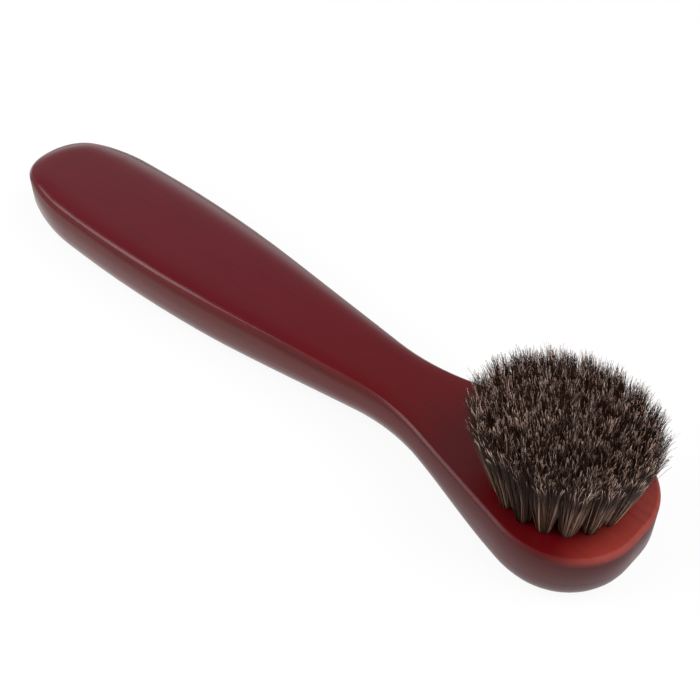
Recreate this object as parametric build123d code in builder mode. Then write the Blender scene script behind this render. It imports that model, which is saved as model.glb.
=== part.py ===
from build123d import *
import os
from math import atan, atan2, cos, hypot, pi, radians, sin, sqrt, tan

# A shoe shine brush lying on its back, hair up, in millimetres.
# +X runs from the butt of the handle to the head, +Y across it, +Z the way the hair points.
# The origin is under the middle of the brush, on the surface that it lies on.

# Board that the handle is cut from
overall_length = 176.0
board_thickness = 14.2
face_edge_radius = 1.2
back_edge_radius = 6.4

# Plan outline: corners of one half, each with its place along the handle, its distance off the
# middle line and the radius that rounds it. The grip is placed from the butt, the neck and the
# head from the nose, so a longer brush has a longer grip.
butt_half_width = 7.6
butt_radius = 10.4
grip_shoulder_from_butt = 15.2
grip_shoulder_half_width = 13.4
grip_shoulder_radius = 46.0
grip_crest_from_butt = 52.0
grip_crest_half_width = 14.6
grip_crest_radius = 330.0
neck_from_nose = 55.5
neck_from_butt = overall_length - neck_from_nose
neck_half_width = 6.9
neck_radius = 50.0
head_shoulder_from_nose = 18.0
head_shoulder_from_butt = overall_length - head_shoulder_from_nose
head_half_width = 17.2
head_shoulder_radius = 19.0
head_corner_radius = 15.0

# Share of a wall of the outline that the arcs at its two ends may use up
arc_room_share = 0.99

# Side view: the back rises to a thin neck and comes down again under the head, and the face
# falls away at the butt
back_rise_from_butt = 68.0
thin_neck_from_nose = 47.0
thin_neck_from_butt = overall_length - thin_neck_from_nose
thin_neck_height = 2.5
head_back_from_nose = 21.0
head_back_from_butt = overall_length - head_back_from_nose
butt_drop_height = 1.2
butt_drop_length = 12.0

# Drilled holes, in rings round the middle of the hair pad
pad_center_from_nose = 18.0
pad_center_from_butt = overall_length - pad_center_from_nose
ring_count = 3
first_ring_tufts = 6
ring_pitch = 4.0
hole_radius = 1.4
hole_depth = 7.5
outer_hole_tilt = 9.0

# Anchors: flat bits of wire that hold the folded hair, their ends bitten into the hole wall
anchor_thickness = 0.35
anchor_height = 1.6
anchor_bite = 0.25
fold_thickness = 0.7

# Hair: the packed root in the hole, then strands that lean out to the trimmed top
root_clearance = 0.05
root_stand = 0.3
root_sides = 8
hair_height = 16.8
pad_top_half_length = 19.4
pad_top_half_width = 17.2
pad_top_shift = -1.4
trim_unevenness = 0.5
stray_reach = 0.15
strand_sides = 3
strand_root_radius = 0.24
strand_belly_radius = 0.34
strand_tip_radius = 0.14
strand_bury = 0.45

# Circles of strands in one tuft: how many stand on each, and its radius as a share of the tuft
inner_strands = 3
inner_circle_share = 0.36
outer_strands = 9
outer_circle_share = 0.72
cell_fill_share = 1.08
belly_height_share = 0.5
belly_lean_share = 0.4

cut_overrun = 1.0

half_length = overall_length / 2
middle_height = board_thickness / 2
golden_angle = pi * (3 - sqrt(5))
upright_limit = 0.01


def plan_point(from_butt, off_line):
    """Point of the plan or the side view, from its distance along the handle and off its line."""
    return (from_butt - half_length, off_line)


def limited_radii(corners, radii):
    """Radii of the corners between the first and the last, limited by the walls beside them."""
    walls = [(end[0] - start[0], end[1] - start[1]) for start, end in zip(corners, corners[1:])]
    headings = [atan2(rise, run) for run, rise in walls]
    turns = [after - before for before, after in zip(headings, headings[1:])]
    reaches = [radius * tan(abs(turn) / 2) for radius, turn in zip(radii, turns)]
    fits = [
        min(1, arc_room_share * hypot(*wall) / (before + after))
        for wall, before, after in zip(walls, [0, *reaches], [*reaches, 0])
    ]
    return [radius * min(before, after) for radius, before, after in zip(radii, fits, fits[1:])]


outline_corners = [
    plan_point(0, 0),
    plan_point(0, butt_half_width),
    plan_point(grip_shoulder_from_butt, grip_shoulder_half_width),
    plan_point(grip_crest_from_butt, grip_crest_half_width),
    plan_point(neck_from_butt, neck_half_width),
    plan_point(head_shoulder_from_butt, head_half_width),
    plan_point(overall_length, head_half_width),
    plan_point(overall_length, 0),
]
outline_radii = [
    butt_radius,
    grip_shoulder_radius,
    grip_crest_radius,
    neck_radius,
    head_shoulder_radius,
    head_corner_radius,
]

back_butt = plan_point(-cut_overrun, 0)
rise_start = plan_point(back_rise_from_butt, 0)
thin_neck = plan_point(thin_neck_from_butt, thin_neck_height)
head_back = plan_point(head_back_from_butt, 0)
back_nose = plan_point(overall_length + cut_overrun, 0)
face_nose = plan_point(overall_length + cut_overrun, board_thickness)
drop_start = plan_point(butt_drop_length, board_thickness)
face_butt = plan_point(-cut_overrun, board_thickness - butt_drop_height)

pad_center_x = pad_center_from_butt - half_length
outer_ring_radius = ring_count * ring_pitch
cell_radius = cell_fill_share * ring_pitch / 2
pad_root_radius = outer_ring_radius + outer_circle_share * cell_radius
spread_along = pad_top_half_length / pad_root_radius
spread_across = pad_top_half_width / pad_root_radius
root_radius = hole_radius - root_clearance
root_depth = hole_depth - root_clearance
tilt_depth = outer_ring_radius / tan(radians(outer_hole_tilt))
anchor_length = 2 * (hole_radius + anchor_bite)
anchor_middle = fold_thickness + anchor_height / 2 - hole_depth

# Name of each tuft, its distance from the middle of the pad and its turn round it
tuft_places = [("tuft_center", 0, 0)]
for ring in range(1, ring_count + 1):
    tufts_in_ring = ring * first_ring_tufts
    for number in range(tufts_in_ring):
        turn = 2 * pi * (number + ring % 2 / 2) / tufts_in_ring
        tuft_places.append((f"tuft_ring{ring}_{number + 1:02d}", ring * ring_pitch, turn))

# Place of each strand in its tuft: share of the tuft's radius and turn round its middle
strand_places = [
    (circle_share, 2 * pi * number / count)
    for count, circle_share in (
        (inner_strands, inner_circle_share),
        (outer_strands, outer_circle_share),
    )
    for number in range(count)
]


def hole_plane(ring_radius, turn):
    """Plane of one hole's mouth: X runs round the ring, Z out along the hole."""
    tilt = atan(ring_radius / tilt_depth)
    mouth = (pad_center_x + ring_radius * cos(turn), ring_radius * sin(turn), board_thickness)
    along_hole = (sin(tilt) * cos(turn), sin(tilt) * sin(turn), cos(tilt))
    return Plane(origin=mouth, x_dir=(-sin(turn), cos(turn), 0), z_dir=along_hole)


def hair_strand(ring_radius, turn, circle_share, strand_turn, phase):
    """Lock of hair, from inside the packed root through its belly to the trimmed tip."""
    tuft_x = ring_radius * cos(turn)
    tuft_y = ring_radius * sin(turn)
    side_x = circle_share * cos(turn + strand_turn)
    side_y = circle_share * sin(turn + strand_turn)
    root_x = tuft_x + root_radius * side_x
    root_y = tuft_y + root_radius * side_y
    tip_x = pad_top_shift + spread_along * (tuft_x + cell_radius * side_x)
    tip_y = spread_across * (tuft_y + cell_radius * side_y)
    lean_x = tip_x + stray_reach * cos(phase) - root_x
    lean_y = tip_y + stray_reach * sin(phase) - root_y
    tip_rise = hair_height + trim_unevenness * sin(2 * phase)
    levels = [
        (0, root_stand - strand_bury, strand_root_radius),
        (belly_lean_share, belly_height_share * tip_rise, strand_belly_radius),
        (1, tip_rise, strand_tip_radius),
    ]
    sections = [
        Pos(pad_center_x + root_x + lean * lean_x, root_y + lean * lean_y, board_thickness + rise)
        * RegularPolygon(radius, strand_sides)
        for lean, rise, radius in levels
    ]
    return loft(sections, ruled=True)


def wall_rims(builder):
    """Edges along the top and the bottom of the upright walls."""
    walls = builder.faces().filter_by(lambda face: abs(face.normal_at().Z) < upright_limit)
    return walls.edges().filter_by(Axis.Z, reverse=True)


hole_planes = [hole_plane(ring_radius, turn) for name, ring_radius, turn in tuft_places]
os.makedirs("parts", exist_ok=True)

# Handle: the plan outline, cut to the side view, its edges rounded and its head drilled
with BuildPart() as handle:
    with BuildSketch():
        with BuildLine():
            FilletPolyline(outline_corners, radius=limited_radii(outline_corners, outline_radii))
            mirror(about=Plane.XZ)
        make_face()
    extrude(amount=board_thickness)
    with BuildSketch(Plane.XZ):
        with BuildLine():
            Line(back_butt, rise_start)
            Spline([rise_start, thin_neck], tangents=[(1, 0), (1, 0)])
            Spline([thin_neck, head_back], tangents=[(1, 0), (1, 0)])
            Line(head_back, back_nose)
            Line(back_nose, face_nose)
            Line(face_nose, drop_start)
            TangentArc(drop_start, face_butt, tangent=(-1, 0))
            Line(face_butt, back_butt)
        make_face()
    extrude(amount=overall_length, both=True, mode=Mode.INTERSECT)
    fillet(wall_rims(handle).filter_by_position(Axis.Z, 0, middle_height), back_edge_radius)
    fillet(
        wall_rims(handle).filter_by_position(Axis.Z, middle_height, board_thickness),
        face_edge_radius,
    )
    with Locations(*hole_planes):
        with Locations((0, 0, -hole_depth)):
            Cylinder(
                hole_radius,
                hole_depth + cut_overrun,
                align=(Align.CENTER, Align.CENTER, Align.MIN),
                mode=Mode.SUBTRACT,
            )
        with Locations((0, 0, anchor_middle)):
            Box(anchor_length, anchor_thickness, anchor_height, mode=Mode.SUBTRACT)

handle.part.label = "handle"
export_step(handle.part, "parts/handle.step")

# Anchors: one in each hole, square to the line from the middle of the pad
with BuildPart() as anchors:
    with Locations(*hole_planes):
        with Locations((0, 0, anchor_middle)):
            Box(anchor_length, anchor_thickness, anchor_height)

anchors.part.label = "anchors"
export_step(anchors.part, "parts/anchors.step")

# Tufts: the packed root, slotted for its anchor, and the strands that grow out of it
for place, (name, ring_radius, turn) in enumerate(tuft_places):
    strands = [
        hair_strand(
            ring_radius,
            turn,
            circle_share,
            strand_turn,
            golden_angle * (place * len(strand_places) + number),
        )
        for number, (circle_share, strand_turn) in enumerate(strand_places)
    ]
    with BuildPart() as tuft:
        with BuildSketch(hole_planes[place].offset(-root_depth)):
            RegularPolygon(root_radius, root_sides)
        extrude(amount=root_depth + root_stand)
        with Locations(hole_planes[place]):
            with Locations((0, 0, anchor_middle)):
                Box(anchor_length, anchor_thickness, anchor_height, mode=Mode.SUBTRACT)
        add(strands)
    tuft.part.label = name
    export_step(tuft.part, f"parts/{name}.step")
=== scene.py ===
import bpy
from math import atan, cos, pi, radians, sin, sqrt, tan
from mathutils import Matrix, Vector


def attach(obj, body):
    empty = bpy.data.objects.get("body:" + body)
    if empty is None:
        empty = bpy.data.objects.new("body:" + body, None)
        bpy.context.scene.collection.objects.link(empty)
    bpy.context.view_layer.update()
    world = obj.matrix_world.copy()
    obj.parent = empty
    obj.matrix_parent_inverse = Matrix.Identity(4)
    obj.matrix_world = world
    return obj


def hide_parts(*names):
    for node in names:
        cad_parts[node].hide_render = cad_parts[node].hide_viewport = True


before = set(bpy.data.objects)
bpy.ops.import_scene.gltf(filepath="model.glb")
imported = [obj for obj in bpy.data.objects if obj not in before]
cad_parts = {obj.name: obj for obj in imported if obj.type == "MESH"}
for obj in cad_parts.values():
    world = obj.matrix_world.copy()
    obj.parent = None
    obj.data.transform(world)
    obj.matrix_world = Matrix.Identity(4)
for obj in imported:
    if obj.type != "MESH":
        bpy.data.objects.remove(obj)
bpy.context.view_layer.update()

# Shoe shine brush on its back, hair up, in metres: +X from butt to head, +Z the way the hair points
mm = 0.001
scene = bpy.context.scene


class Wire:
    # One output of a node. Sums, products and powers of wires and numbers add Math nodes.
    def __init__(self, board, node, output):
        self.board = board
        self.node = node
        self.output = output

    def __getitem__(self, name):
        return Wire(self.board, self.node, findSocket(self.node.outputs, name))

    def maths(self, operation, first, second):
        return self.board.node("ShaderNodeMath", {"operation": operation}, {0: first, 1: second})

    def __add__(self, other):
        return self.maths("ADD", self, other)

    def __radd__(self, other):
        return self.maths("ADD", other, self)

    def __sub__(self, other):
        return self.maths("SUBTRACT", self, other)

    def __rsub__(self, other):
        return self.maths("SUBTRACT", other, self)

    def __mul__(self, other):
        return self.maths("MULTIPLY", self, other)

    def __rmul__(self, other):
        return self.maths("MULTIPLY", other, self)

    def __truediv__(self, other):
        return self.maths("DIVIDE", self, other)

    def __pow__(self, other):
        return self.maths("POWER", self, other)


def findSocket(sockets, name):
    if isinstance(name, int):
        return sockets[name]
    for socket in sockets:
        if socket.identifier == name and socket.enabled:
            return socket
    return next(socket for socket in sockets if socket.name == name and socket.enabled)


class Board:
    # A node tree that nodes are added to, with their settings first and their sockets next
    def __init__(self, tree):
        self.tree = tree

    def node(self, kind, settings=None, sockets=None):
        made = self.tree.nodes.new(kind)
        for name, value in (settings or {}).items():
            if name == "stops":
                setStops(made.color_ramp, value)
            else:
                setattr(made, name, value)
        for name, value in (sockets or {}).items():
            target = findSocket(made.inputs, name)
            if isinstance(value, Wire):
                self.tree.links.new(value.output, target)
            else:
                target.default_value = value
        output = next((socket for socket in made.outputs if socket.enabled), None)
        return Wire(self, made, output)

    def math(self, operation, *values):
        return self.node("ShaderNodeMath", {"operation": operation}, dict(enumerate(values)))

    def vector(self, operation, *values):
        sockets = dict(enumerate(values))
        if operation == "SCALE":
            sockets = {0: values[0], "Scale": values[1]}
        return self.node("ShaderNodeVectorMath", {"operation": operation}, sockets)

    def spread(self, value, low, high, newLow=0.0, newHigh=1.0):
        sockets = {
            "Value": value, "From Min": low, "From Max": high, "To Min": newLow, "To Max": newHigh,
        }
        return self.node("ShaderNodeMapRange", {"interpolation_type": "SMOOTHSTEP"}, sockets)

    def noise(self, place, scale, detail):
        return self.node("ShaderNodeTexNoise", {}, {"Vector": place, "Scale": scale, "Detail": detail})

    def blendColor(self, factor, first, second):
        sockets = {"Factor_Float": factor, "A_Color": first, "B_Color": second}
        return self.node("ShaderNodeMix", {"data_type": "RGBA"}, sockets)["Result_Color"]

    def blendVector(self, factor, first, second):
        sockets = {"Factor_Float": factor, "A_Vector": first, "B_Vector": second}
        return self.node("ShaderNodeMix", {"data_type": "VECTOR"}, sockets)["Result_Vector"]


def setStops(ramp, stops):
    while len(ramp.elements) > 1:
        ramp.elements.remove(ramp.elements[-1])
    for number, (place, color) in enumerate(stops):
        element = ramp.elements[0] if number == 0 else ramp.elements.new(place)
        element.position = place
        element.color = color


def newMaterial(name):
    material = bpy.data.materials.new(name)
    material.use_nodes = True
    material.node_tree.nodes.clear()
    return material, Board(material.node_tree)


def finishMaterial(board, shader):
    board.node("ShaderNodeOutputMaterial", {}, {"Surface": shader})


def shade(red, green, blue):
    return (red, green, blue, 1.0)


# Camera, where the photograph was taken from
camera = {
    "place": (137.16 * mm, -132.49 * mm, 192.24 * mm),
    "target": (17.02 * mm, -1.40 * mm, 14.2 * mm),
    "lens": 61.71,
    "sensor": 36.0,
}


def aim(thing, place, target):
    thing.location = place
    thing.rotation_euler = (Vector(target) - Vector(place)).to_track_quat("-Z", "Y").to_euler()


def makeCamera(settings):
    data = bpy.data.cameras.new("camera")
    data.lens = settings["lens"]
    data.sensor_width = settings["sensor"]
    data.clip_start = 0.01
    holder = bpy.data.objects.new("camera", data)
    scene.collection.objects.link(holder)
    aim(holder, settings["place"], settings["target"])
    scene.camera = holder


makeCamera(camera)
print("camera made")

# Studio: a pale floor, a room that darkens overhead and glows on its far side, and three soft boxes.
# Only the edge box shows in the lacquer.
studio = {
    "floorSize": 6.0,
    "floorDrop": 0.02 * mm,  # just under the brush, so that the two don't share a plane
    "floorColor": shade(0.9, 0.9, 0.9),
    "floorShadowShare": 0.1,  # how much of the floor's white gives way to the shadow
    "roomColor": shade(1.0, 1.0, 1.0),
    "roomLow": 0.45,  # light from the walls
    "roomHigh": 0.2,  # light from overhead
    "roomFadeStart": 0.5,
    "roomFadeEnd": 0.85,
    "farSide": (-0.68, 0.73, 0.0),  # away from the camera, seen in the far edge of the grip
    "farStart": 0.82,
    "farEnd": 0.98,
    "farGlow": 0.8,
    "softBoxes": {
        "edgeBox": {"place": (-0.50, -0.33, 0.50), "size": 0.3, "power": 0.9, "mirrored": True},
        "keyBox": {"place": (0.50, 0.15, 0.55), "size": 0.8, "power": 5.6, "mirrored": False},
        "fillBox": {"place": (-0.30, -0.45, 0.35), "size": 0.5, "power": 3.2, "mirrored": False},
    },
}


def makeFloor(settings):
    half = settings["floorSize"] / 2
    mesh = bpy.data.meshes.new("floor")
    sides = ((-1, -1), (1, -1), (1, 1), (-1, 1))
    corners = [(x * half, y * half, -settings["floorDrop"]) for x, y in sides]
    mesh.from_pydata(corners, [], [(0, 1, 2, 3)])
    floor = bpy.data.objects.new("floor", mesh)
    scene.collection.objects.link(floor)
    material, board = newMaterial("paleFloor")
    path = board.node("ShaderNodeLightPath")
    seen = board.math("MAXIMUM", path["Is Camera Ray"], path["Is Glossy Ray"])
    matte = board.node("ShaderNodeBsdfDiffuse", {}, {"Color": settings["floorColor"]})
    glow = board.node("ShaderNodeEmission", {}, {"Color": shade(1, 1, 1), "Strength": 1.0})
    factor = seen * (1 - settings["floorShadowShare"])
    finishMaterial(board, board.node("ShaderNodeMixShader", {}, {0: factor, 1: matte, 2: glow}))
    mesh.materials.append(material)


def makeRoom(settings):
    world = bpy.data.worlds.new("room")
    world.use_nodes = True
    world.node_tree.nodes.clear()
    board = Board(world.node_tree)
    path = board.node("ShaderNodeLightPath")
    direction = board.node("ShaderNodeTexCoord")["Generated"]
    rise = board.node("ShaderNodeSeparateXYZ", {}, {0: direction})["Z"]
    fade = (settings["roomFadeStart"], settings["roomFadeEnd"], settings["roomLow"], settings["roomHigh"])
    far = board.vector("DOT_PRODUCT", direction, settings["farSide"])["Value"]
    farGlow = board.spread(far, settings["farStart"], settings["farEnd"], 0.0, settings["farGlow"])
    strength = board.math("MAXIMUM", path["Is Camera Ray"], board.spread(rise, *fade) + farGlow)
    light = {"Color": settings["roomColor"], "Strength": strength}
    board.node("ShaderNodeOutputWorld", {}, {"Surface": board.node("ShaderNodeBackground", {}, light)})
    scene.world = world


def makeSoftBox(name, settings):
    data = bpy.data.lights.new(name, "AREA")
    data.shape = "SQUARE"
    data.size = settings["size"]
    data.energy = settings["power"]
    lamp = bpy.data.objects.new(name, data)
    scene.collection.objects.link(lamp)
    lamp.visible_glossy = settings["mirrored"]
    aim(lamp, settings["place"], (0, 0, 0))


makeFloor(studio)
makeRoom(studio)
for boxName, softBox in studio["softBoxes"].items():
    makeSoftBox(boxName, softBox)
scene.view_settings.view_transform = "Standard"
print("studio made")

# Handle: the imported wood, under a dark red lacquer
lacquer = {
    "plumRed": shade(0.094, 0.0010, 0.0060),
    "neckRed": shade(0.098, 0.0010, 0.0030),
    # painted shade: the sides get darker reds than the face, for the grip and, darker still under the
    # overhanging hair, for the head
    "sideRed": shade(0.076, 0.0035, 0.0030),
    "headSideRed": shade(0.056, 0.0020, 0.0025),
    # partly a lighter lacquer, partly painted light and a painted reflection on the nose's rim
    "brightRed": shade(0.27, 0.034, 0.024),
    "brownRed": shade(0.040, 0.0030, 0.0030),
    "gripRoughness": 0.2,
    "headRoughness": 0.36,
    "neckFade": (-10 * mm, 45 * mm),  # along the handle, as the next two
    "headFade": (20 * mm, 60 * mm),
    "noseFade": (77 * mm, 88 * mm),
    "rimFade": (11.8 * mm, 13.8 * mm),  # up from the table, as the next
    "sideFade": (6.5 * mm, 13.4 * mm),
    "sideLift": 0.55,
    "flatSlope": (0.90, 0.97),  # a face this upright is shaded as level
    "crownLean": 0.85,
    "crownPower": 5.0,
    "crownLimit": 1.03,
    "crownEnd": (20 * mm, 50 * mm),
    "buttMiddle": -77.5 * mm,
    "buttLength": 10.5 * mm,
    "grainScale": 60.0,
    "grainDetail": 4.0,
    "grainStretch": (1.0, 14.0, 14.0),
    "grainFade": (0.4, 0.75),
    "grainShare": 0.22,
    "ripple": 220.0,
    "rippleDetail": 1.0,
    "rippleDepth": 0.012 * mm,
    "widthScale": 20 * mm,  # what a ramp's full white stands for
    "halfWidths": {  # in mm: place along the handle, half its width there
        -77.5: 11.5, -70: 13.2, -60: 13.9, -50: 14.1, -40: 13.9, -30: 13.5, -15: 12.3,
        0: 10.6, 10: 9.4, 20: 8.3, 30: 7.8, 40: 9.2, 50: 11.8, 60: 14.5,
    },
}


def halfWidth(board, alongHandle, settings):
    # Half the width of the board at a place along it, read from a ramp
    first, last = min(settings["halfWidths"]), max(settings["halfWidths"])
    stops = []
    for place, width in settings["halfWidths"].items():
        share = width * mm / settings["widthScale"]
        stops.append(((place - first) / (last - first), shade(share, share, share)))
    share = (alongHandle / mm - first) / (last - first)
    ramp = board.node("ShaderNodeValToRGB", {"stops": stops}, {"Fac": share})["Color"]
    return board.node("ShaderNodeSeparateColor", {}, {0: ramp})["Red"] * settings["widthScale"]


def makeLacquer(settings):
    material, board = newMaterial("redLacquer")
    place = board.node("ShaderNodeTexCoord")["Object"]
    axes = board.node("ShaderNodeSeparateXYZ", {}, {0: place})
    normal = board.node("ShaderNodeNewGeometry")["Normal"]
    slope = board.node("ShaderNodeSeparateXYZ", {}, {0: normal})["Z"]
    faceShare = slope * slope
    neckShare = board.spread(axes["X"], *settings["neckFade"])
    red = board.blendColor(neckShare, settings["plumRed"], settings["neckRed"])
    headShare = board.spread(axes["X"], *settings["headFade"])
    # Painted shade: where the surface turns from level to upright, the red gives way to the darker side
    # reds, darkest on the head's sides
    sideRed = board.blendColor(headShare, settings["sideRed"], settings["headSideRed"])
    red = board.blendColor(1 - faceShare, red, sideRed)
    # The face's rim at the nose turns a brighter red: partly lighter lacquer, partly painted light and a
    # painted reflection
    noseRimAndLight = board.spread(axes["X"], *settings["noseFade"]) * board.spread(axes["Z"], *settings["rimFade"])
    red = board.blendColor(noseRimAndLight, red, settings["brightRed"])
    stretched = board.vector("MULTIPLY", place, settings["grainStretch"])
    grain = board.noise(stretched, settings["grainScale"], settings["grainDetail"])
    streaks = board.spread(grain["Fac"], *settings["grainFade"], 0.0, settings["grainShare"])
    color = board.blendColor(streaks, red, settings["brownRed"])

    # The side looks a little rounder under its crease than the solid, and the face falls away
    # at its edges
    lift = board.spread(axes["Z"], *settings["sideFade"]) * (1 - faceShare) * settings["sideLift"]
    along = board.math("MINIMUM", axes["X"] - settings["buttMiddle"], 0.0) / settings["buttLength"]
    across = axes["Y"] / halfWidth(board, axes["X"], settings)
    reach = board.math("SQRT", along * along + across * across)
    gripShare = faceShare * (1 - board.spread(axes["X"], *settings["crownEnd"]))
    crown = board.math("MINIMUM", reach, settings["crownLimit"]) ** settings["crownPower"]
    fall = crown * gripShare * settings["crownLean"]
    lean = board.node("ShaderNodeCombineXYZ", {}, {0: along * fall, 1: across * fall, 2: lift})
    flat = board.spread(slope, *settings["flatSlope"])
    normal = board.blendVector(flat, normal, (0, 0, 1))
    normal = board.vector("NORMALIZE", board.vector("ADD", normal, lean))
    ripple = board.noise(place, settings["ripple"], settings["rippleDetail"])
    bump = {
        "Height": ripple["Fac"], "Distance": settings["rippleDepth"], "Strength": 1.0,
        "Normal": normal,
    }
    normal = board.node("ShaderNodeBump", {}, bump)
    headExtra = settings["headRoughness"] - settings["gripRoughness"]
    roughness = settings["gripRoughness"] + headShare * headExtra
    sockets = {"Base Color": color, "Roughness": roughness, "Normal": normal}
    finishMaterial(board, board.node("ShaderNodeBsdfPrincipled", {}, sockets))
    return material


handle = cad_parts["handle"]
handle.data.materials.clear()
handle.data.materials.append(makeLacquer(lacquer))

# Anchors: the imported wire, in drawn steel
steel = {
    "color": shade(0.55, 0.55, 0.56),
    "roughness": (0.35, 0.5),
    "lineScale": 900.0,
    "lineDetail": 2.0,
    "lineFade": (0.3, 0.7),
}


def makeSteel(settings):
    material, board = newMaterial("drawnSteel")
    place = board.node("ShaderNodeTexCoord")["Object"]
    lines = board.noise(place, settings["lineScale"], settings["lineDetail"])
    roughness = board.spread(lines["Fac"], *settings["lineFade"], *settings["roughness"])
    sockets = {"Base Color": settings["color"], "Metallic": 1.0, "Roughness": roughness}
    finishMaterial(board, board.node("ShaderNodeBsdfPrincipled", {}, sockets))
    return material


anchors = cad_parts["anchors"]
anchors.data.materials.clear()
anchors.data.materials.append(makeSteel(steel))
print("handle and anchors finished")

# Hair: one tuft to a hole, in rings round the middle of the pad
hair = {
    "faceHeight": 14.2 * mm,
    "padCenter": 70.0 * mm,
    "ringCount": 3,
    "firstRingTufts": 6,
    "ringPitch": 4.0 * mm,
    "outerTilt": radians(9.0),
    "rootRadius": 1.36 * mm,
    "rootDepth": 0.5 * mm,
    "height": 16.8 * mm,
    "topHalfLength": 19.2 * mm,
    "topHalfWidth": 17.0 * mm,
    "topShift": -1.4 * mm,
    "tuftFill": 0.62,  # reach of a tuft's tips, as a share of the ring pitch
    "bellyShare": 0.8,  # where the hairs bend, their reach as a share of the tips'
    "bellyRise": 0.36,  # and their rise as a share of the height
    "hairsInTuft": 560,
    "hairPoints": 8,
    "hairSides": 3,
    "hairRadius": 0.058 * mm,
    "thickness": (0.75, 1.15),
    "tipThinning": 0.5,
    "pointPower": 1.5,  # more than 1 puts a hair's points nearer to its tip
    "turnToss": 0.3,
    "lockSize": 0.85 * mm,
    "lockPull": 0.55,
    "leastPull": 0.4,
    "lockLean": 0.8 * mm,
    "lockRise": 0.5 * mm,
    "tipScatter": 0.45 * mm,
    "wildFrom": 0.96,  # only the last few hairs in a hundred stray far
    "wildExtra": 3.0,
    "trimUnevenness": 0.35 * mm,
    "waviness": 0.4 * mm,
    "swayScale": (3.17, 1.3, 5.3),  # from hair to hair, along a hair, from tuft to tuft
    "swayDetail": 1.0,
    "tipCurl": 0.9 * mm,
    "curlPower": 10.0,
    "ownToneShare": 0.65,  # the rest of a hair's tone comes from its lock
    "seed": 11,
}

# What the tree of one tuft is given, and the kind of each
tuftInputs = {
    "Root Center": "NodeSocketVector",
    "Root Radius": "NodeSocketFloat",
    "Root Direction": "NodeSocketVector",
    "Tip Center": "NodeSocketVector",
    "Tip Reach": "NodeSocketVector",
    "Belly Reach": "NodeSocketVector",
    "Hair Count": "NodeSocketInt",
    "Hair Points": "NodeSocketInt",
    "Hair Sides": "NodeSocketInt",
    "Hair Radius": "NodeSocketFloat",
    "Lock Size": "NodeSocketFloat",
    "Lock Pull": "NodeSocketFloat",
    "Lock Lean": "NodeSocketFloat",
    "Lock Rise": "NodeSocketFloat",
    "Tip Scatter": "NodeSocketFloat",
    "Trim Unevenness": "NodeSocketFloat",
    "Waviness": "NodeSocketFloat",
    "Tip Curl": "NodeSocketFloat",
    "Seed": "NodeSocketInt",
}


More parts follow.
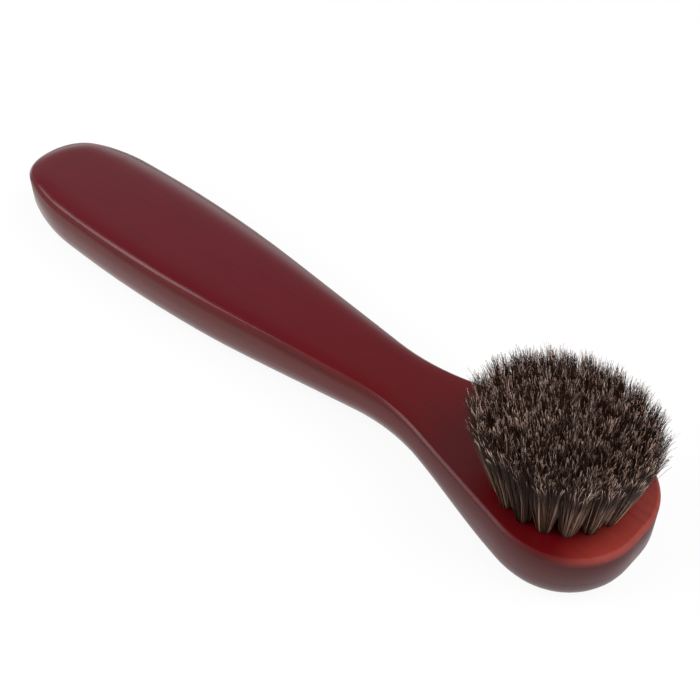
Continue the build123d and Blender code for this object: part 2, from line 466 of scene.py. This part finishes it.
def makeTuftTree(settings, material):
    tree = bpy.data.node_groups.new("hairTuft", "GeometryNodeTree")
    tree.is_modifier = True
    for name, kind in tuftInputs.items():
        tree.interface.new_socket(name, in_out="INPUT", socket_type=kind)
    tree.interface.new_socket("Geometry", in_out="OUTPUT", socket_type="NodeSocketGeometry")
    board = Board(tree)
    given = board.node("NodeGroupInput")
    line = board.node("GeometryNodeCurvePrimitiveLine", {}, {"Start": (0, 0, 0), "End": (0, 0, 1)})
    strand = board.node("GeometryNodeResampleCurve", {}, {"Curve": line, "Count": given["Hair Points"]})
    amount = {"Geometry": strand, "Amount": given["Hair Count"]}
    copies = board.node("GeometryNodeDuplicateElements", {"domain": "SPLINE"}, amount)
    number = copies["Duplicate Index"]
    along = 1 - (1 - board.node("GeometryNodeSplineParameter")["Factor"]) ** settings["pointPower"]

    def chance(low, high, seedShift):
        sockets = {"Min_001": low, "Max_001": high, "ID": number, "Seed": given["Seed"] + seedShift}
        return board.node("FunctionNodeRandomValue", {"data_type": "FLOAT"}, sockets)["Value_001"]

    def toss(reach, seedShift):
        corner = (reach, reach, reach)
        seed = given["Seed"] + seedShift
        sockets = {"Min": tuple(-part for part in corner), "Max": corner, "ID": number, "Seed": seed}
        return board.node("FunctionNodeRandomValue", {"data_type": "FLOAT_VECTOR"}, sockets)["Value"]

    # Place in the tuft, on a sunflower spiral
    turn = number * (pi * (3 - sqrt(5))) + chance(-settings["turnToss"], settings["turnToss"], 1)
    reach = board.math("SQRT", (number + 0.5) / given["Hair Count"])
    sideX = board.math("COSINE", turn) * reach
    sideY = board.math("SINE", turn) * reach
    side = board.node("ShaderNodeCombineXYZ", {}, {0: sideX, 1: sideY, 2: 0.0})
    root = board.vector("ADD", given["Root Center"], board.vector("SCALE", side, given["Root Radius"]))
    tip = board.vector("ADD", given["Tip Center"], board.vector("MULTIPLY", side, given["Tip Reach"]))

    # Tips stray, gather into locks and end a little above or below the trim
    wildness = 1 + board.spread(chance(0.0, 1.0, 8), settings["wildFrom"], 1.0, 0.0, settings["wildExtra"])
    stray = board.vector("SCALE", board.vector("MULTIPLY", toss(1.0, 6), (1.0, 1.0, 0.0)), wildness)
    tip = board.vector("ADD", tip, board.vector("SCALE", stray, given["Tip Scatter"]))
    lockScale = board.math("DIVIDE", 1.0, given["Lock Size"])
    grid = {"Vector": tip, "Scale": lockScale}
    cell = board.node("ShaderNodeTexVoronoi", {"voronoi_dimensions": "2D"}, grid)
    toLock = board.vector("SUBTRACT", cell["Position"], tip)
    flat = board.vector("MULTIPLY", toLock, (1.0, 1.0, 0.0))
    pull = given["Lock Pull"] * chance(settings["leastPull"], 1.0, 2)
    tip = board.vector("ADD", tip, board.vector("SCALE", flat, pull))
    nature = board.node("ShaderNodeSeparateXYZ", {}, {0: cell["Color"]})
    leanX = (nature["X"] - 0.5) * given["Lock Lean"]
    leanY = (nature["Y"] - 0.5) * given["Lock Lean"]
    uneven = chance(-1.0, 1.0, 3) * given["Trim Unevenness"] + (nature["Z"] - 0.5) * given["Lock Rise"]
    lean = board.node("ShaderNodeCombineXYZ", {}, {0: leanX, 1: leanY, 2: uneven})
    tip = board.vector("ADD", tip, lean)

    # A hair leaves its hole straight and bends over to its tip, on a curve with one control point
    belly = board.vector("MULTIPLY", side, given["Belly Reach"])
    bend = board.vector("ADD", board.vector("ADD", given["Root Center"], given["Root Direction"]), belly)
    rest = 1 - along
    first = board.vector("SCALE", root, rest * rest)
    second = board.vector("SCALE", bend, 2 * rest * along)
    third = board.vector("SCALE", tip, along * along)
    path = board.vector("ADD", board.vector("ADD", first, second), third)
    byHair, byLength, byTuft = settings["swayScale"]
    swaySpot = {0: number * byHair, 1: along * byLength, 2: given["Seed"] * byTuft}
    noise = board.noise(board.node("ShaderNodeCombineXYZ", {}, swaySpot), 1.0, settings["swayDetail"])
    sway = board.vector("SUBTRACT", noise["Color"], (0.5, 0.5, 0.5))
    path = board.vector("ADD", path, board.vector("SCALE", sway, along * given["Waviness"] * 2))
    curl = along ** settings["curlPower"] * given["Tip Curl"]
    path = board.vector("ADD", path, board.vector("SCALE", toss(1.0, 7), curl))
    curves = board.node("GeometryNodeSetPosition", {}, {"Geometry": copies["Geometry"], "Position": path})
    thinned = 1 - settings["tipThinning"] * along * along * along
    radius = given["Hair Radius"] * thinned * chance(*settings["thickness"], 4)
    ownTone = settings["ownToneShare"]
    tone = ownTone * chance(0.0, 1.0, 5) + (1 - ownTone) * nature["X"]
    for name, value in (("hairAlong", along), ("hairTone", tone)):
        kind = {"data_type": "FLOAT", "domain": "POINT"}
        sockets = {"Geometry": curves, "Name": name, "Value": value}
        curves = board.node("GeometryNodeStoreNamedAttribute", kind, sockets)
    circle = {"Resolution": given["Hair Sides"], "Radius": 1.0}
    outline = board.node("GeometryNodeCurvePrimitiveCircle", {}, circle)
    tube = {"Curve": curves, "Profile Curve": outline, "Scale": radius, "Fill Caps": True}
    mesh = board.node("GeometryNodeCurveToMesh", {}, tube)
    mesh = board.node("GeometryNodeSetShadeSmooth", {}, {"Geometry": mesh, "Shade Smooth": True})
    mesh = board.node("GeometryNodeRealizeInstances", {}, {"Geometry": mesh})
    mesh = board.node("GeometryNodeSetMaterial", {}, {"Geometry": mesh, "Material": material})
    board.node("NodeGroupOutput", {}, {"Geometry": mesh})
    return tree


# Horsehair: dark at the root, brown to tan along the hair, pale at the tips
horsehair = {
    "rootColor": shade(0.024, 0.011, 0.007),
    "darkColor": shade(0.026, 0.0105, 0.0065),
    "brownColor": shade(0.125, 0.060, 0.038),
    "paleColor": shade(0.46, 0.31, 0.23),
    "tipColor": shade(0.95, 0.68, 0.56),
    "rootFade": (0.0, 0.14),
    "duskFade": (0.70, 0.90),  # the hair is darker again below its tip
    "duskShare": 0.75,
    "tipFade": (0.94, 1.0),
    "tipTones": (0.64, 0.80),  # only the paler hairs have pale tips
    "darkUpTo": 0.35,
    "brownAt": 0.65,
    "paleAt": 0.90,
    "roughness": 0.5,
    "specular": 0.2,
}


def makeHorsehair(settings):
    material, board = newMaterial("horsehair")
    along = board.node("ShaderNodeAttribute", {"attribute_name": "hairAlong"})["Fac"]
    tone = board.node("ShaderNodeAttribute", {"attribute_name": "hairTone"})["Fac"]
    stops = [
        (0.0, settings["darkColor"]),
        (settings["darkUpTo"], settings["darkColor"]),
        (settings["brownAt"], settings["brownColor"]),
        (settings["paleAt"], settings["paleColor"]),
    ]
    body = board.node("ShaderNodeValToRGB", {"stops": stops}, {"Fac": tone})["Color"]
    body = board.blendColor(board.spread(along, *settings["rootFade"]), settings["rootColor"], body)
    dusk = board.spread(along, *settings["duskFade"]) * settings["duskShare"]
    color = board.blendColor(dusk, body, settings["darkColor"])
    tipShare = board.spread(along, *settings["tipFade"]) * board.spread(tone, *settings["tipTones"])
    color = board.blendColor(tipShare, color, settings["tipColor"])
    sockets = {
        "Base Color": color,
        "Roughness": settings["roughness"],
        "Specular IOR Level": settings["specular"],
    }
    finishMaterial(board, board.node("ShaderNodeBsdfPrincipled", {}, sockets))
    return material


def tuftPlaces(settings):
    yield "tuft_center", 0.0, 0.0
    for ring in range(1, settings["ringCount"] + 1):
        count = ring * settings["firstRingTufts"]
        for number in range(count):
            turn = 2 * pi * (number + ring % 2 / 2) / count
            yield f"tuft_ring{ring}_{number + 1:02d}", ring * settings["ringPitch"], turn


def makeTufts(settings):
    tree = makeTuftTree(settings, makeHorsehair(horsehair))
    sockets = {item.name: item.identifier for item in tree.interface.items_tree if item.in_out == "INPUT"}
    outerRing = settings["ringCount"] * settings["ringPitch"]
    cell = settings["tuftFill"] * settings["ringPitch"]
    alongSpread = settings["topHalfLength"] / (outerRing + cell)
    acrossSpread = settings["topHalfWidth"] / (outerRing + cell)
    tiltDepth = outerRing / tan(settings["outerTilt"])
    top = settings["faceHeight"] + settings["height"]
    belly = settings["bellyShare"]
    for place, (name, ringRadius, turn) in enumerate(tuftPlaces(settings)):
        offX, offY = ringRadius * cos(turn), ringRadius * sin(turn)
        tilt = atan(ringRadius / tiltDepth)
        direction = (sin(tilt) * cos(turn), sin(tilt) * sin(turn), cos(tilt))
        depth = settings["rootDepth"]
        rise = settings["bellyRise"] * settings["height"]
        values = {
            "Root Center": (
                settings["padCenter"] + offX - depth * direction[0],
                offY - depth * direction[1],
                settings["faceHeight"] - depth * direction[2],
            ),
            "Root Radius": settings["rootRadius"],
            "Root Direction": tuple(rise * part for part in direction),
            "Tip Center": (
                settings["padCenter"] + settings["topShift"] + alongSpread * offX,
                acrossSpread * offY,
                top,
            ),
            "Tip Reach": (alongSpread * cell, acrossSpread * cell, 0.0),
            "Belly Reach": (belly * alongSpread * cell, belly * acrossSpread * cell, 0.0),
            "Hair Count": settings["hairsInTuft"],
            "Hair Points": settings["hairPoints"],
            "Hair Sides": settings["hairSides"],
            "Hair Radius": settings["hairRadius"],
            "Lock Size": settings["lockSize"],
            "Lock Pull": settings["lockPull"],
            "Lock Lean": settings["lockLean"],
            "Lock Rise": settings["lockRise"],
            "Tip Scatter": settings["tipScatter"],
            "Trim Unevenness": settings["trimUnevenness"],
            "Waviness": settings["waviness"],
            "Tip Curl": settings["tipCurl"],
            "Seed": settings["seed"] + place,
        }
        maker = bpy.data.objects.new(name + "_maker", bpy.data.meshes.new(name + "_maker"))
        scene.collection.objects.link(maker)
        modifier = maker.modifiers.new("hair", "NODES")
        modifier.node_group = tree
        for label, value in values.items():
            modifier[sockets[label]] = value
        graph = bpy.context.evaluated_depsgraph_get()
        mesh = bpy.data.meshes.new_from_object(maker.evaluated_get(graph))
        bpy.data.objects.remove(maker)
        mesh.name = name + "_hair"
        tuft = bpy.data.objects.new(name + "_hair", mesh)
        scene.collection.objects.link(tuft)
        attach(tuft, "root")
        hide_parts(name)
    print(place + 1, "tufts made")


makeTufts(hair)
